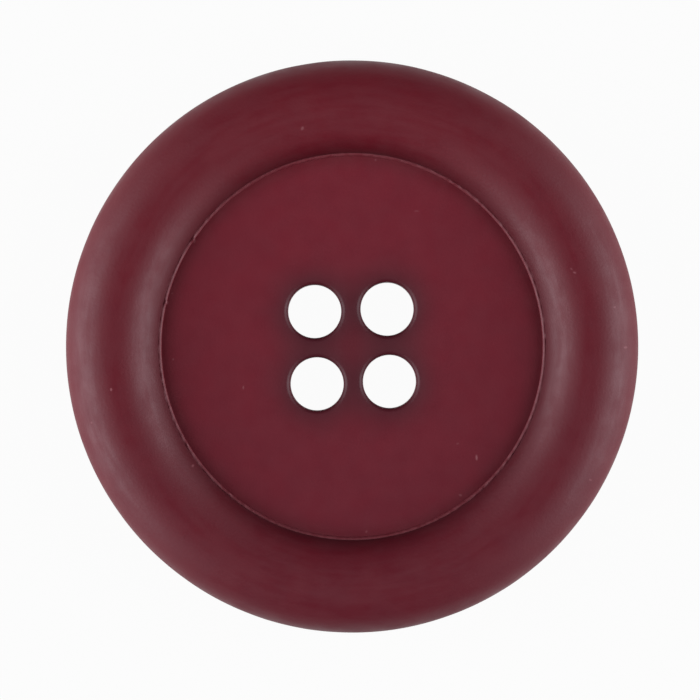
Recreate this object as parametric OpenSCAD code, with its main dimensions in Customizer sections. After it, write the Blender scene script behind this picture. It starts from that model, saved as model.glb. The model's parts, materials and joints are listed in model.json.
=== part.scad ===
// Four-hole sew-through button, moulded in one piece of satin burgundy plastic.
// The origin is the centre of the flat back, +Z points out through the face,
// and the four holes stand square to X and Y.

/* [Outline] */
// Outside diameter (28 mm is 44 ligne, an overcoat size)
outer_d = 28; // [20:0.5:40]
// Overall height, from the back to the crown of the rim
overall_h = 4; // [3.6:0.1:6]
// Radius of the corner between the back and the side
back_corner_r = 1.6; // [0.4:0.1:2]

/* [Rim] */
// Width of the rounded rim, from the outline to the widest point of its inner wall
rim_w = 4.62; // [3:0.02:5.6]
// Rise of the rim's half ellipse, from its widest level to the crown
rim_rise = 1.85; // [1.2:0.05:2.4]

/* [Sunken centre] */
// Depth of the flat centre below the crown of the rim
well_depth = 1.5; // [0.8:0.1:2.4]
// Radius of the fine ridge left by the mould insert round the edge of the centre
ridge_r = 0.14; // [0.04:0.01:0.2]

/* [Sewing holes] */
// Diameter of each hole
hole_d = 2.6; // [1.4:0.1:2.9]
// Distance between neighbouring hole centres
hole_pitch = 3.55; // [3.3:0.05:6]
// Radius of the rounded edge at both ends of a hole
hole_edge_r = 0.26; // [0.08:0.02:0.5]

/* [Hidden] */
$fn = 180;

// Angle at which a rounded hole edge runs out into the flat face
edge_run_out = 12;
// Least flat land left between the rounded edges of neighbouring holes
hole_land_min = 0.15;
// How far a cut reaches past the face that it opens
cut_past = 0.5;
// Least straight band left between the back corner and the widest point of the rim
side_band_min = 0.05;
// Share of the ridge's radius by which its centre is sunk into the foot of the rim
ridge_sunk = 0.2;

outer_r = outer_d / 2;
rim_r = rim_w / 2;
crown_r = outer_r - rim_r;
well_r = outer_r - rim_w;
widest_z = overall_h - rim_rise;
web_t = overall_h - well_depth;
foot_share = max(web_t - widest_z, 0) / rim_rise;
foot_r = crown_r - rim_r * sqrt(1 - foot_share * foot_share);
ridge_at = foot_r + ridge_sunk * ridge_r;
corner_r = min(back_corner_r, widest_z - side_band_min);

hole_r = hole_d / 2;
edge_flare = 1 - sin(edge_run_out);
edge_r = min(hole_edge_r, (hole_pitch - hole_d - hole_land_min) / (2 * edge_flare));
edge_depth = edge_r * cos(edge_run_out);

// Upper part of the rim: a half ellipse over the full width of the rim
module rim_crown() {
    intersection() {
        translate([crown_r, widest_z])
            scale([1, rim_rise / rim_r])
                circle(r = rim_r);
        translate([well_r - rim_w, widest_z])
            square([3 * rim_w, rim_w]);
    }
}

// Lower part of the rim: straight inside, with a rounded corner towards the back
module rim_foot() {
    translate([well_r, 0])
        square([rim_w - corner_r, widest_z]);
    translate([well_r, corner_r])
        square([rim_w, widest_z - corner_r]);
    translate([outer_r - corner_r, corner_r])
        circle(r = corner_r);
}

// Half section of the whole button, from its axis to the outline
module button_section() {
    rim_crown();
    rim_foot();
    square([crown_r, web_t]);
    translate([ridge_at, web_t])
        circle(r = ridge_r);
}

// Half section of one sewing hole, flared by a rounded edge at the face and at the back
module hole_section() {
    difference() {
        translate([0, -cut_past])
            square([hole_r + edge_r, web_t + 2 * cut_past]);
        translate([hole_r, edge_depth])
            square([2 * edge_r, web_t - 2 * edge_depth]);
        for (z = [edge_depth, web_t - edge_depth])
            translate([hole_r + edge_r, z])
                circle(r = edge_r);
    }
}

module button() {
    color("#672630")
        difference() {
            rotate_extrude()
                button_section();
            for (x = [-1, 1], y = [-1, 1])
                translate([x * hole_pitch / 2, y * hole_pitch / 2, 0])
                    rotate_extrude()
                        hole_section();
        }
}

button();
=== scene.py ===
import json
import math

import bmesh
import bpy
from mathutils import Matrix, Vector, noise


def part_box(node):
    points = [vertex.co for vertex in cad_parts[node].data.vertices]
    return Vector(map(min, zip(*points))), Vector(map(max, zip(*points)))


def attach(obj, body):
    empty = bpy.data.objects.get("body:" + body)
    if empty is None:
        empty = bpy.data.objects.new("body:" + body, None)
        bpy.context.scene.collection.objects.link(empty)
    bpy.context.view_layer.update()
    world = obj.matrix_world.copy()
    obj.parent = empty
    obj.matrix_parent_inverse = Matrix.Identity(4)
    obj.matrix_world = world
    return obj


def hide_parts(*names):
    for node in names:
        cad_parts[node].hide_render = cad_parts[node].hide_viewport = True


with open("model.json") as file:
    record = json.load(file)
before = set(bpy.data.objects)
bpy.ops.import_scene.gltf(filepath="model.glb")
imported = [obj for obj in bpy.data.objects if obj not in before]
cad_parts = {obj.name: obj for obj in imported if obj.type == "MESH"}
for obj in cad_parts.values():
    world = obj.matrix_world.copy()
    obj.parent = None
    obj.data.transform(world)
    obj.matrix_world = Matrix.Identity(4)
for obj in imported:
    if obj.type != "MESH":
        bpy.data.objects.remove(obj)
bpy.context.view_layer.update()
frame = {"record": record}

# The button is one piece of satin burgundy polyester, moulded in a two-part die and tumbled smooth.
# A round insert in the die forms the flat sunken centre with its holes, and leaves a fine, slightly
# ragged ridge of flash round the edge of that centre, bedded in the corner at the foot of the rim.
MM = 0.001
_, button_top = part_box("button")
OUTER_R = button_top.x
OVERALL_H = button_top.z
RIM_W = 4.62 * MM
RIM_RISE = 1.85 * MM
WELL_DEPTH = 1.5 * MM
RIDGE_R = 0.14 * MM
RIDGE_SUNK = 0.2
BACK_CORNER_R = 1.6 * MM
SEW_HOLES = [mount for mount in frame["record"]["mounts"] if mount["kind"] == "bore"]
HOLE_R = SEW_HOLES[0]["dims"]["r_mm"] * MM
HOLE_EDGE_R = 0.26 * MM
EDGE_RUN_OUT_DEG = 12

RIM_R = RIM_W / 2
CROWN_R = OUTER_R - RIM_R
WIDEST_Z = OVERALL_H - RIM_RISE
WEB_T = OVERALL_H - WELL_DEPTH
FOOT_R = CROWN_R - RIM_R * math.sqrt(1 - ((WEB_T - WIDEST_Z) / RIM_RISE) ** 2)
RIDGE_AT = FOOT_R + RIDGE_SUNK * RIDGE_R

# The flat disc that holds the holes is filled as one sheet; the rest is turned in rings round the axis.
DISC_R = 5 * MM
TURN_STEPS = 960
HOLE_STEPS = 96
FLAT_STEPS = 3
RIDGE_STEPS = 10
RIM_STEPS = 52
BACK_CORNER_STEPS = 14
HOLE_EDGE_STEPS = 14
HALVINGS = 40

# Tumbling leaves waves in the rim that only show where they bend its sheen.
WAVE_HEIGHT = 0.006 * MM
WAVE_LENGTH = 1.6 * MM

# The flash swells and thins along the ridge, and rises and leans over the centre in a burr here and
# there. Each burr: its place round the button in degrees, its lean as a share of the ridge's radius,
# and its reach along the ridge.
FLASH_SWELL = 0.16
FLASH_LENGTH = 0.3 * MM
BURR_RISE = 0.4
BURRS = [
    (164.7, 0.50, 0.13 * MM),
    (144.2, 0.55, 0.11 * MM),
    (81.0, 0.25, 0.10 * MM),
    (-126.3, 0.25, 0.12 * MM),
    (-131.7, 0.35, 0.16 * MM),
    (-151.4, 0.35, 0.12 * MM),
]

# Painted shade lies in the corner at the foot of the rim and thins out up its wall.
CORNER_REACH = 1.3 * MM


def arc(centre, radii, start, end, steps):
    """Points along an arc of the half section, from start to end in degrees, both ends included.
    The radii are those across and up, which differ on the rim's ellipse."""
    angles = [math.radians(start + (end - start) * i / steps) for i in range(steps + 1)]
    return [(centre[0] + radii[0] * math.cos(a), centre[1] + radii[1] * math.sin(a)) for a in angles]


def straight(start, end, steps):
    """Points along a straight stretch of the half section, without its end."""
    shares = [i / steps for i in range(steps)]
    return [(start[0] + (end[0] - start[0]) * s, start[1] + (end[1] - start[1]) * s) for s in shares]


def ridge_meets_rim():
    """Where the ridge runs into the rim's wall, in degrees round the ridge and round the rim."""
    low, high = 0, 90
    for _ in range(HALVINGS):
        turn = math.radians((low + high) / 2)
        across = (RIDGE_AT + RIDGE_R * math.cos(turn) - CROWN_R) / RIM_R
        up = (WEB_T + RIDGE_R * math.sin(turn) - WIDEST_Z) / RIM_RISE
        if math.hypot(across, up) < 1:
            low = math.degrees(turn)
        else:
            high = math.degrees(turn)
    return low, math.degrees(math.atan2(up, across))


def on_axis(turn, r, z):
    """The point at a turn round the button's axis, a distance from the axis and a height."""
    return Vector((r * math.cos(turn), r * math.sin(turn), z))


def unmoved(turn, r, z):
    """A point that stays where the section puts it."""
    return r, z


def burr(turn):
    """How far a burr leans over the centre at a turn round the axis, as a share of the ridge's radius."""
    lean = 0
    for place_deg, share, reach in BURRS:
        apart = math.remainder(turn - math.radians(place_deg), math.tau) * RIDGE_AT / reach
        lean += share * math.exp(-apart * apart)
    return lean


def flashed(turn, r, z):
    """A point of the ridge, moved out by the swell of the flash and leaned over by a burr.
    Behind the top of the ridge both fade out towards the rim, which holds it there."""
    loose = min(1, (RIDGE_AT + RIDGE_R - r) / RIDGE_R)
    swell = loose * FLASH_SWELL * noise.noise(on_axis(turn, RIDGE_AT, 0) / FLASH_LENGTH)
    lean = loose * burr(turn)
    up = (z - WEB_T) / RIDGE_R
    out = swell * up * (r - RIDGE_AT) - lean * up * RIDGE_R
    return r + out, z + (swell + BURR_RISE * lean) * (z - WEB_T)


def tumbled(turn, r, z):
    """A point of the rim, moved in or out by the waves that tumbling leaves."""
    wave = WAVE_HEIGHT * noise.noise(on_axis(turn, r, z) / WAVE_LENGTH)
    out = Vector(((r - CROWN_R) / RIM_R ** 2, (z - WIDEST_Z) / RIM_RISE ** 2)).normalized()
    return r + wave * out.x, z + wave * out.y


def button_section():
    """Half section from the edge of the flat disc, over the rim, to the same edge on the back.
    Each stretch has its points and how they stray as the section turns round the axis."""
    back_r = OUTER_R - BACK_CORNER_R
    back_corner = (back_r, BACK_CORNER_R)
    ridge_end, rim_start = ridge_meets_rim()
    return [
        (straight((DISC_R, WEB_T), (RIDGE_AT - RIDGE_R, WEB_T), FLAT_STEPS), unmoved),
        (arc((RIDGE_AT, WEB_T), (RIDGE_R, RIDGE_R), 180, ridge_end, RIDGE_STEPS)[:-1], flashed),
        (arc((CROWN_R, WIDEST_Z), (RIM_R, RIM_RISE), rim_start, 0, RIM_STEPS), tumbled),
        (arc(back_corner, (BACK_CORNER_R, BACK_CORNER_R), 0, -90, BACK_CORNER_STEPS), unmoved),
        (straight((back_r, 0), (DISC_R, 0), FLAT_STEPS)[1:] + [(DISC_R, 0)], unmoved),
    ]


def hole_section():
    """Half section of one sewing hole, from the rounded edge at the face to the one at the back."""
    depth = HOLE_EDGE_R * math.cos(math.radians(EDGE_RUN_OUT_DEG))
    centre_r = HOLE_R + HOLE_EDGE_R
    radii = (HOLE_EDGE_R, HOLE_EDGE_R)
    face_edge = arc((centre_r, WEB_T - depth), radii, 90 + EDGE_RUN_OUT_DEG, 180, HOLE_EDGE_STEPS)
    back_edge = arc((centre_r, depth), radii, 180, 270 - EDGE_RUN_OUT_DEG, HOLE_EDGE_STEPS)
    return face_edge + back_edge


def ring(bm, centre, r, z, stray, steps):
    """One closed ring of vertices round an upright axis."""
    turns = [math.tau * i / steps for i in range(steps)]
    return [bm.verts.new(centre + on_axis(turn, *stray(turn, r, z))) for turn in turns]


def ring_edges(bm, loop):
    """The edges along one closed ring."""
    return [bm.edges.get((loop[i - 1], loop[i])) for i in range(len(loop))]


def skin(bm, rings):
    """Quads between neighbouring rings."""
    for low, high in zip(rings, rings[1:]):
        for i in range(len(low)):
            bm.faces.new((low[i - 1], low[i], high[i], high[i - 1]))


def button_mesh():
    """The whole button as one closed mesh, smooth but for a crease at each foot of the ridge.
    Its vertices carry the shares of flash and of painted shade in the corner that the material reads."""
    bm = bmesh.new()
    flash = bm.verts.layers.float.new("flash")
    corner = bm.verts.layers.float.new("corner")
    turned = []
    creases = []
    for points, stray in button_section():
        rings = [ring(bm, Vector((0, 0, 0)), r, z, stray, TURN_STEPS) for r, z in points]
        turned += rings
        if stray is not unmoved:
            creases.append(rings[0])
        if stray is flashed:
            for vert in (v for loop in rings[1:] for v in loop):
                vert[flash] = 1
        if stray is tumbled:
            for loop, (r, z) in zip(rings, points):
                up_wall = math.dist((r, z), points[0])
                for vert in loop:
                    vert[corner] = max(0, 1 - up_wall / CORNER_REACH) if r < CROWN_R else 0
    skin(bm, turned)
    face_loops, back_loops = [turned[0]], [turned[-1]]
    for hole in SEW_HOLES:
        x, y, _ = hole["pos_m"]
        bore = [ring(bm, Vector((x, y, 0)), r, z, unmoved, HOLE_STEPS) for r, z in hole_section()]
        skin(bm, bore)
        face_loops.append(bore[0])
        back_loops.append(bore[-1])
    for loops in (face_loops, back_loops):
        edges = [edge for loop in loops for edge in ring_edges(bm, loop)]
        bmesh.ops.triangle_fill(bm, use_beauty=True, use_dissolve=False, edges=edges)
    bmesh.ops.recalc_face_normals(bm, faces=bm.faces)
    for face in bm.faces:
        face.smooth = True
    for loop in creases:
        for edge in ring_edges(bm, loop):
            edge.smooth = False
    mesh = bpy.data.meshes.new("moulded_button")
    bm.to_mesh(mesh)
    bm.free()
    return mesh


button = bpy.data.objects.new("moulded_button", button_mesh())
bpy.context.scene.collection.objects.link(button)

# The plastic is dyed right through. A redder colour in the thin web is painted light, for light shining
# through it, and a darker colour round the holes is painted shade, where that light leaks out. Its satin
# is uneven and streaked along the rim, painted shade sits at the foot of the rim, the flash is rubbed
# pale, and nicks and bits of lint show as pale marks.
RIM_DYE = (0.154, 0.0035, 0.0130, 1)
# The web's colour holds painted light: it is redder to stand in for light shining through the thin web.
WEB_DYE_AND_PAINTED_LIGHT = (0.195, 0.0035, 0.0174, 1)
WEB_FADE = 1.0 * MM
# The dark colour round the holes and the four values after it are painted shade, for light that leaks out
# there.
PAINTED_HOLE_SHADE = (0.004, 0.0015, 0.0045, 1)
HOLE_SHADE_REACH = 2.0 * MM
HOLE_SHADE_SHARE = 0.64
HOLE_SHADE_DEPTH = 0.6 * MM
BORE_SHADE_SHARE = 0.3
# The deeper colour and the two values after it paint shade as a fall-off across the button; the deeper
# colour also shows the dye's own clouds.
DEEP_DYE_AND_SHADE = (0.090, 0.0026, 0.0130, 1)
PAINTED_LIGHT_TOWARDS = (-0.15, 0.99, 0)
DEEPEST_SHADE_SHARE = 0.42
DYE_CLOUD = 1.4 * MM
DYE_CLOUD_SHARE = 0.11
# This dark colour and its share are painted shade in the corner at the foot of the rim.
PAINTED_CORNER_SHADE = (0.020, 0.0030, 0.0045, 1)
CORNER_SHADE_SHARE = 0.5
RUBBED = (0.300, 0.090, 0.110, 1)
FLASH_SHARES = (0.12, 0.34)
GLOSS_LEVEL = 0.595
GLOSS_TINT = (1, 0.93, 1, 1)
SATIN_CLOUD = 0.9 * MM
STREAK_LENGTH = 2.2 * MM
STREAK_WIDTH = 0.28 * MM
RIM_ROUGHNESS = (0.49, 0.63)
WEB_ROUGHNESS = (0.545, 0.605)
GRAIN_SIZE = 0.14 * MM
GRAIN_DEPTH = 0.007 * MM

# The part of a cloud's range that is stretched to a full share: of one cloud, of the sum of two, and of
# the calmer satin in the web.
CLOUD_RANGE = (0.3, 0.7)
TWO_CLOUDS_RANGE = (0.6, 1.4)
WEB_CLOUD_RANGE = (0.25, 0.75)

# Each mark: its place across the face, its length and its width in millimetres, its turn in degrees and
# how pale it is. It keeps that strength out to a share of its half size, and then fades.
MARKS = [
    (-2.07, 10.70, 0.28, 0.20, 65, 0.62),
    (3.37, 6.51, 0.34, 0.13, 0, 0.25),
    (1.45, 9.07, 0.16, 0.14, 80, 0.35),
    (10.80, 3.42, 0.18, 0.13, -50, 0.40),
    (10.95, 3.24, 0.24, 0.14, -20, 0.65),
    (-11.80, -1.71, 0.20, 0.15, 85, 0.95),
    (-5.38, -1.83, 0.26, 0.12, 88, 0.55),
    (-7.96, -5.56, 0.20, 0.16, 45, 0.50),
    (5.90, -5.63, 0.38, 0.15, 92, 0.95),
    (5.05, -7.44, 0.24, 0.17, -25, 0.45),
    (5.00, -4.92, 0.20, 0.14, 20, 0.30),
    (-8.71, 2.89, 0.16, 0.12, 15, 0.25),
    (-8.76, -0.34, 0.16, 0.12, 80, 0.40),
    (0.40, -9.07, 0.20, 0.14, 60, 0.40),
    (13.33, -0.49, 0.26, 0.15, 10, 0.60),
    (12.85, 1.49, 0.18, 0.14, 0, 0.45),
    (11.40, -6.89, 0.20, 0.15, -30, 0.50),
    (-12.82, -3.29, 0.16, 0.14, 70, 0.45),
    (-8.97, 2.44, 0.24, 0.18, 75, 0.70),
    (-7.52, 5.40, 0.30, 0.14, 70, 0.45),
]
MARK_CORE = 0.3
MARK_REACH_Z = 0.6 * MM

# The helpers below add to the material that nodes and links belong to.
plastic = bpy.data.materials.new("burgundy_satin")
plastic.use_nodes = True
nodes, links = plastic.node_tree.nodes, plastic.node_tree.links
satin = nodes["Principled BSDF"]
satin.inputs["Specular IOR Level"].default_value = GLOSS_LEVEL
satin.inputs["Specular Tint"].default_value = GLOSS_TINT
place = nodes.new("ShaderNodeTexCoord").outputs["Object"]


def feed(socket, value):
    """A socket fed from another node's output, or set to a plain number, vector or colour."""
    if isinstance(value, bpy.types.NodeSocket):
        links.new(value, socket)
    else:
        socket.default_value = value


def cloud(size, detail, where=place):
    """Soft clouds of a set size through the plastic, as a share about one half."""
    clouds = nodes.new("ShaderNodeTexNoise")
    clouds.inputs["Scale"].default_value = 1 / size
    clouds.inputs["Detail"].default_value = detail
    links.new(where, clouds.inputs["Vector"])
    return clouds.outputs["Fac"]


def spread(value, from_range, to_range, ease="SMOOTHSTEP"):
    """The value, stretched from one range to another and held inside it."""
    stretch = nodes.new("ShaderNodeMapRange")
    stretch.interpolation_type = ease
    for name, limit in zip(("From Min", "From Max", "To Min", "To Max"), (*from_range, *to_range)):
        stretch.inputs[name].default_value = limit
    links.new(value, stretch.inputs["Value"])
    return stretch.outputs["Result"]


def join(operation, first, second):
    """Two values put together by one step of arithmetic."""
    node = nodes.new("ShaderNodeMath")
    node.operation = operation
    feed(node.inputs[0], first)
    feed(node.inputs[1], second)
    return node.outputs["Value"]


def vector(operation, first, second=None, output="Vector"):
    """One step of vector arithmetic, on one vector or on two."""
    node = nodes.new("ShaderNodeVectorMath")
    node.operation = operation
    feed(node.inputs[0], first)
    if second is not None:
        feed(node.inputs[1], second)
    return node.outputs[output]


def blend(share, first, second):
    """Two colours, or two values, mixed by a share of the second."""
    mix = nodes.new("ShaderNodeMix")
    mix.data_type = "RGBA"
    feed(mix.inputs["Factor"], share)
    ends = [socket for socket in mix.inputs if socket.type == "RGBA"]
    feed(ends[0], first)
    feed(ends[1], second)
    return next(socket for socket in mix.outputs if socket.type == "RGBA")


def painted(layer):
    """A share that the mesh carries at its vertices."""
    share = nodes.new("ShaderNodeAttribute")
    share.attribute_name = layer
    return share.outputs["Fac"]


def mark_group():
    """Node group for one soft-edged mark, with its place, half size and turn as inputs."""
    group = bpy.data.node_groups.new("mark", "ShaderNodeTree")
    for name in ("Place", "Centre", "Half size"):
        group.interface.new_socket(name, in_out="INPUT", socket_type="NodeSocketVector")
    group.interface.new_socket("Turn", in_out="INPUT", socket_type="NodeSocketFloat")
    group.interface.new_socket("Mask", in_out="OUTPUT", socket_type="NodeSocketFloat")
    inside, wires = group.nodes, group.links
    start = inside.new("NodeGroupInput")
    end = inside.new("NodeGroupOutput")
    off = inside.new("ShaderNodeVectorMath")
    off.operation = "SUBTRACT"
    turned = inside.new("ShaderNodeVectorRotate")
    turned.rotation_type = "Z_AXIS"
    turned.invert = True
    scaled = inside.new("ShaderNodeVectorMath")
    scaled.operation = "DIVIDE"
    apart = inside.new("ShaderNodeVectorMath")
    apart.operation = "LENGTH"
    soft = inside.new("ShaderNodeMapRange")
    soft.interpolation_type = "SMOOTHSTEP"
    soft.inputs["From Min"].default_value = 1
    soft.inputs["From Max"].default_value = MARK_CORE
    wires.new(start.outputs["Place"], off.inputs[0])
    wires.new(start.outputs["Centre"], off.inputs[1])
    wires.new(off.outputs["Vector"], turned.inputs["Vector"])
    wires.new(start.outputs["Turn"], turned.inputs["Angle"])
    wires.new(turned.outputs["Vector"], scaled.inputs[0])
    wires.new(start.outputs["Half size"], scaled.inputs[1])
    wires.new(scaled.outputs["Vector"], apart.inputs[0])
    wires.new(apart.outputs["Value"], soft.inputs["Value"])
    wires.new(soft.outputs["Result"], end.inputs["Mask"])
    return group


def face_height(r):
    """Height of the button's face at a distance from the axis."""
    if r < FOOT_R:
        return WEB_T
    return WIDEST_Z + RIM_RISE * math.sqrt(1 - ((r - CROWN_R) / RIM_R) ** 2)


# The web's redder colour, painted light, fades into the rim's dye, and painted shade darkens it round
# each hole, most of all at the face.
across_face = vector("MULTIPLY", place, (1, 1, 0))
from_axis = vector("LENGTH", across_face, output="Value")
height = vector("DOT_PRODUCT", place, (0, 0, 1), "Value")
web_share = spread(from_axis, (FOOT_R - WEB_FADE, FOOT_R), (1, 0))
dye_and_painted_light = blend(web_share, RIM_DYE, WEB_DYE_AND_PAINTED_LIGHT)
at_face = spread(height, (WEB_T - HOLE_SHADE_DEPTH, WEB_T - HOLE_EDGE_R), (BORE_SHADE_SHARE, 1))
unshaded_share = 1
for hole in SEW_HOLES:
    x, y, _ = hole["pos_m"]
    to_hole = vector("DISTANCE", across_face, (x, y, 0), "Value")
    near = spread(to_hole, (HOLE_R, HOLE_R + HOLE_SHADE_REACH), (1, 0), "LINEAR")
    # Painted shade round this hole, strongest at its edge and at the face.
    hole_shade = join("MULTIPLY", join("MULTIPLY", near, near), at_face)
    unshaded_share = join("MULTIPLY", spread(hole_shade, (0, 1), (1, 1 - HOLE_SHADE_SHARE), "LINEAR"), unshaded_share)
dye_and_painted_light = blend(unshaded_share, PAINTED_HOLE_SHADE, dye_and_painted_light)

# Painted light fall-off makes the colour paler towards +Y and deeper towards -Y across the button; the
# dye's own clouds deepen it here and there.
along = vector("DOT_PRODUCT", place, PAINTED_LIGHT_TOWARDS, "Value")
painted_falloff = spread(along, (-OUTER_R, OUTER_R), (DEEPEST_SHADE_SHARE, 0), "LINEAR")
dye_clouds = spread(cloud(DYE_CLOUD, detail=4), CLOUD_RANGE, (0, DYE_CLOUD_SHARE))
dye_and_painted_light = blend(join("ADD", painted_falloff, dye_clouds), dye_and_painted_light, DEEP_DYE_AND_SHADE)

# Painted shade lies over the dye in the corner at the foot of the rim, and the rubbed flash and the marks
# show pale over both.
colour = blend(join("MULTIPLY", painted("corner"), CORNER_SHADE_SHARE), dye_and_painted_light, PAINTED_CORNER_SHADE)
rub = spread(cloud(FLASH_LENGTH, detail=2), CLOUD_RANGE, FLASH_SHARES)
pale_share = join("MULTIPLY", painted("flash"), rub)
mark_nodes = mark_group()
for x, y, length, width, turn_deg, pale in MARKS:
    mark = nodes.new("ShaderNodeGroup")
    mark.node_tree = mark_nodes
    mark.inputs["Centre"].default_value = (x * MM, y * MM, face_height(math.hypot(x, y) * MM))
    mark.inputs["Half size"].default_value = (length / 2 * MM, width / 2 * MM, MARK_REACH_Z)
    mark.inputs["Turn"].default_value = math.radians(turn_deg)
    links.new(place, mark.inputs["Place"])
    pale_share = join("MAXIMUM", pale_share, join("MULTIPLY", mark.outputs["Mask"], pale))
links.new(blend(pale_share, colour, RUBBED), satin.inputs["Base Color"])

# The satin is clouded all over, and the rim also has streaks, which are clouds drawn out round the axis.
round_axis = vector("NORMALIZE", across_face)
drawn_out = vector("MULTIPLY", round_axis, (CROWN_R * STREAK_WIDTH / STREAK_LENGTH,) * 3)
from_axis_up = vector("MULTIPLY", from_axis, (0, 0, 1))
streaks = cloud(STREAK_WIDTH, detail=3, where=vector("ADD", drawn_out, from_axis_up))
satin_clouds = cloud(SATIN_CLOUD, detail=4)
rim_satin = spread(join("ADD", streaks, satin_clouds), TWO_CLOUDS_RANGE, RIM_ROUGHNESS)
web_satin = spread(satin_clouds, WEB_CLOUD_RANGE, WEB_ROUGHNESS)
links.new(blend(web_share, rim_satin, web_satin), satin.inputs["Roughness"])

# A fine grain is left in the whole skin.
grain = nodes.new("ShaderNodeBump")
grain.inputs["Distance"].default_value = GRAIN_DEPTH
links.new(cloud(GRAIN_SIZE, detail=3), grain.inputs["Height"])
links.new(grain.outputs["Normal"], satin.inputs["Normal"])
button.data.materials.append(plastic)

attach(button, "root")
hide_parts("button")

# The floor is a wide sheet of white paper that the button lies on, face up. It lies a hair under the
# button's flat back, so that the two flat faces don't coincide. It shows white to the camera and in
# reflections, but for a share of its own shading, which holds the button's shadow.
FLOOR_SIDE = 1.0
FLOOR_GAP = 0.02 * MM
PAPER = (0.4, 0.4, 0.4, 1)
WHITE_SHARE = 0.96
floor_mesh = bpy.data.meshes.new("paper_floor")
half = FLOOR_SIDE / 2
corners = [(x, y, -FLOOR_GAP) for x, y in ((-half, -half), (half, -half), (half, half), (-half, half))]
floor_mesh.from_pydata(corners, [], [(0, 1, 2, 3)])
floor = bpy.data.objects.new("paper_floor", floor_mesh)
bpy.context.scene.collection.objects.link(floor)
paper = bpy.data.materials.new("white_paper")
paper.use_nodes = True
nodes, links = paper.node_tree.nodes, paper.node_tree.links
nodes.clear()
out = nodes.new("ShaderNodeOutputMaterial")
paper_mix = nodes.new("ShaderNodeMixShader")
matt = nodes.new("ShaderNodeBsdfDiffuse")
matt.inputs["Color"].default_value = PAPER
white = nodes.new("ShaderNodeEmission")
path = nodes.new("ShaderNodeLightPath")
seen = join("MAXIMUM", path.outputs["Is Camera Ray"], path.outputs["Is Glossy Ray"])
seen = join("MAXIMUM", seen, path.outputs["Is Transmission Ray"])
links.new(join("MULTIPLY", seen, WHITE_SHARE), paper_mix.inputs["Fac"])
links.new(matt.outputs["BSDF"], paper_mix.inputs[1])
links.new(white.outputs["Emission"], paper_mix.inputs[2])
links.new(paper_mix.outputs["Shader"], out.inputs["Surface"])
floor_mesh.materials.append(paper)

# Two large soft boxes stand on the table left and right of the button, a little towards its front, and
# face it under a dim surround. Each has its name, its turn round the button in degrees, and its watts.
LAMP_REACH = 0.45
LAMP_HEIGHT_DEG = 24.3
LAMP_TOWARDS_FRONT_DEG = 4.7
LAMP_W = 0.448
LAMP_TALL = 0.39
SOFT_BOXES = [
    ("soft_box_left", 180 + LAMP_TOWARDS_FRONT_DEG, 2.56),
    ("soft_box_right", -LAMP_TOWARDS_FRONT_DEG, 2.26),
]
SURROUND = 0.01
for name, side_deg, watts in SOFT_BOXES:
    lamp = bpy.data.lights.new(name, "AREA")
    lamp.shape = "RECTANGLE"
    lamp.size = LAMP_W
    lamp.size_y = LAMP_TALL
    lamp.energy = watts
    soft_box = bpy.data.objects.new(name, lamp)
    up = math.radians(LAMP_HEIGHT_DEG)
    to_lamp = on_axis(math.radians(side_deg), math.cos(up), math.sin(up))
    soft_box.location = to_lamp * LAMP_REACH
    soft_box.rotation_mode = "QUATERNION"
    soft_box.rotation_quaternion = to_lamp.to_track_quat("Z", "Y")
    bpy.context.scene.collection.objects.link(soft_box)

world = bpy.data.worlds.new("dim_surround")
world.use_nodes = True
surround = world.node_tree.nodes["Background"]
surround.inputs["Color"].default_value = (1, 1, 1, 1)
surround.inputs["Strength"].default_value = SURROUND
bpy.context.scene.world = world

# The camera looks straight down from a copy stand. The button lies a touch off the middle of its frame
# and is turned a little in it, and the lens fits the button's outline to its size there.
PHOTO_SIDE_PX = 700
OUTLINE_R_PX = 286.2
CENTRE_PX = (352.1, 346.5)
TURN_DEG = 1.9
CAMERA_HEIGHT = 0.42
CLIP_START = 0.01
camera = bpy.data.cameras.new("camera")
camera_stand = bpy.data.objects.new("camera", camera)
bpy.context.scene.collection.objects.link(camera_stand)
px = OUTER_R / OUTLINE_R_PX
turn = math.radians(-TURN_DEG)
off_x = (PHOTO_SIDE_PX / 2 - CENTRE_PX[0]) * px
off_y = (CENTRE_PX[1] - PHOTO_SIDE_PX / 2) * px
camera_stand.location = (
    off_x * math.cos(turn) - off_y * math.sin(turn),
    off_x * math.sin(turn) + off_y * math.cos(turn),
    CAMERA_HEIGHT,
)
camera_stand.rotation_euler = (0, 0, turn)
camera.lens = camera.sensor_width * (CAMERA_HEIGHT - WIDEST_Z) / (PHOTO_SIDE_PX * px)
camera.clip_start = CLIP_START
bpy.context.scene.camera = camera_stand

bpy.context.scene.view_settings.view_transform = "Standard"
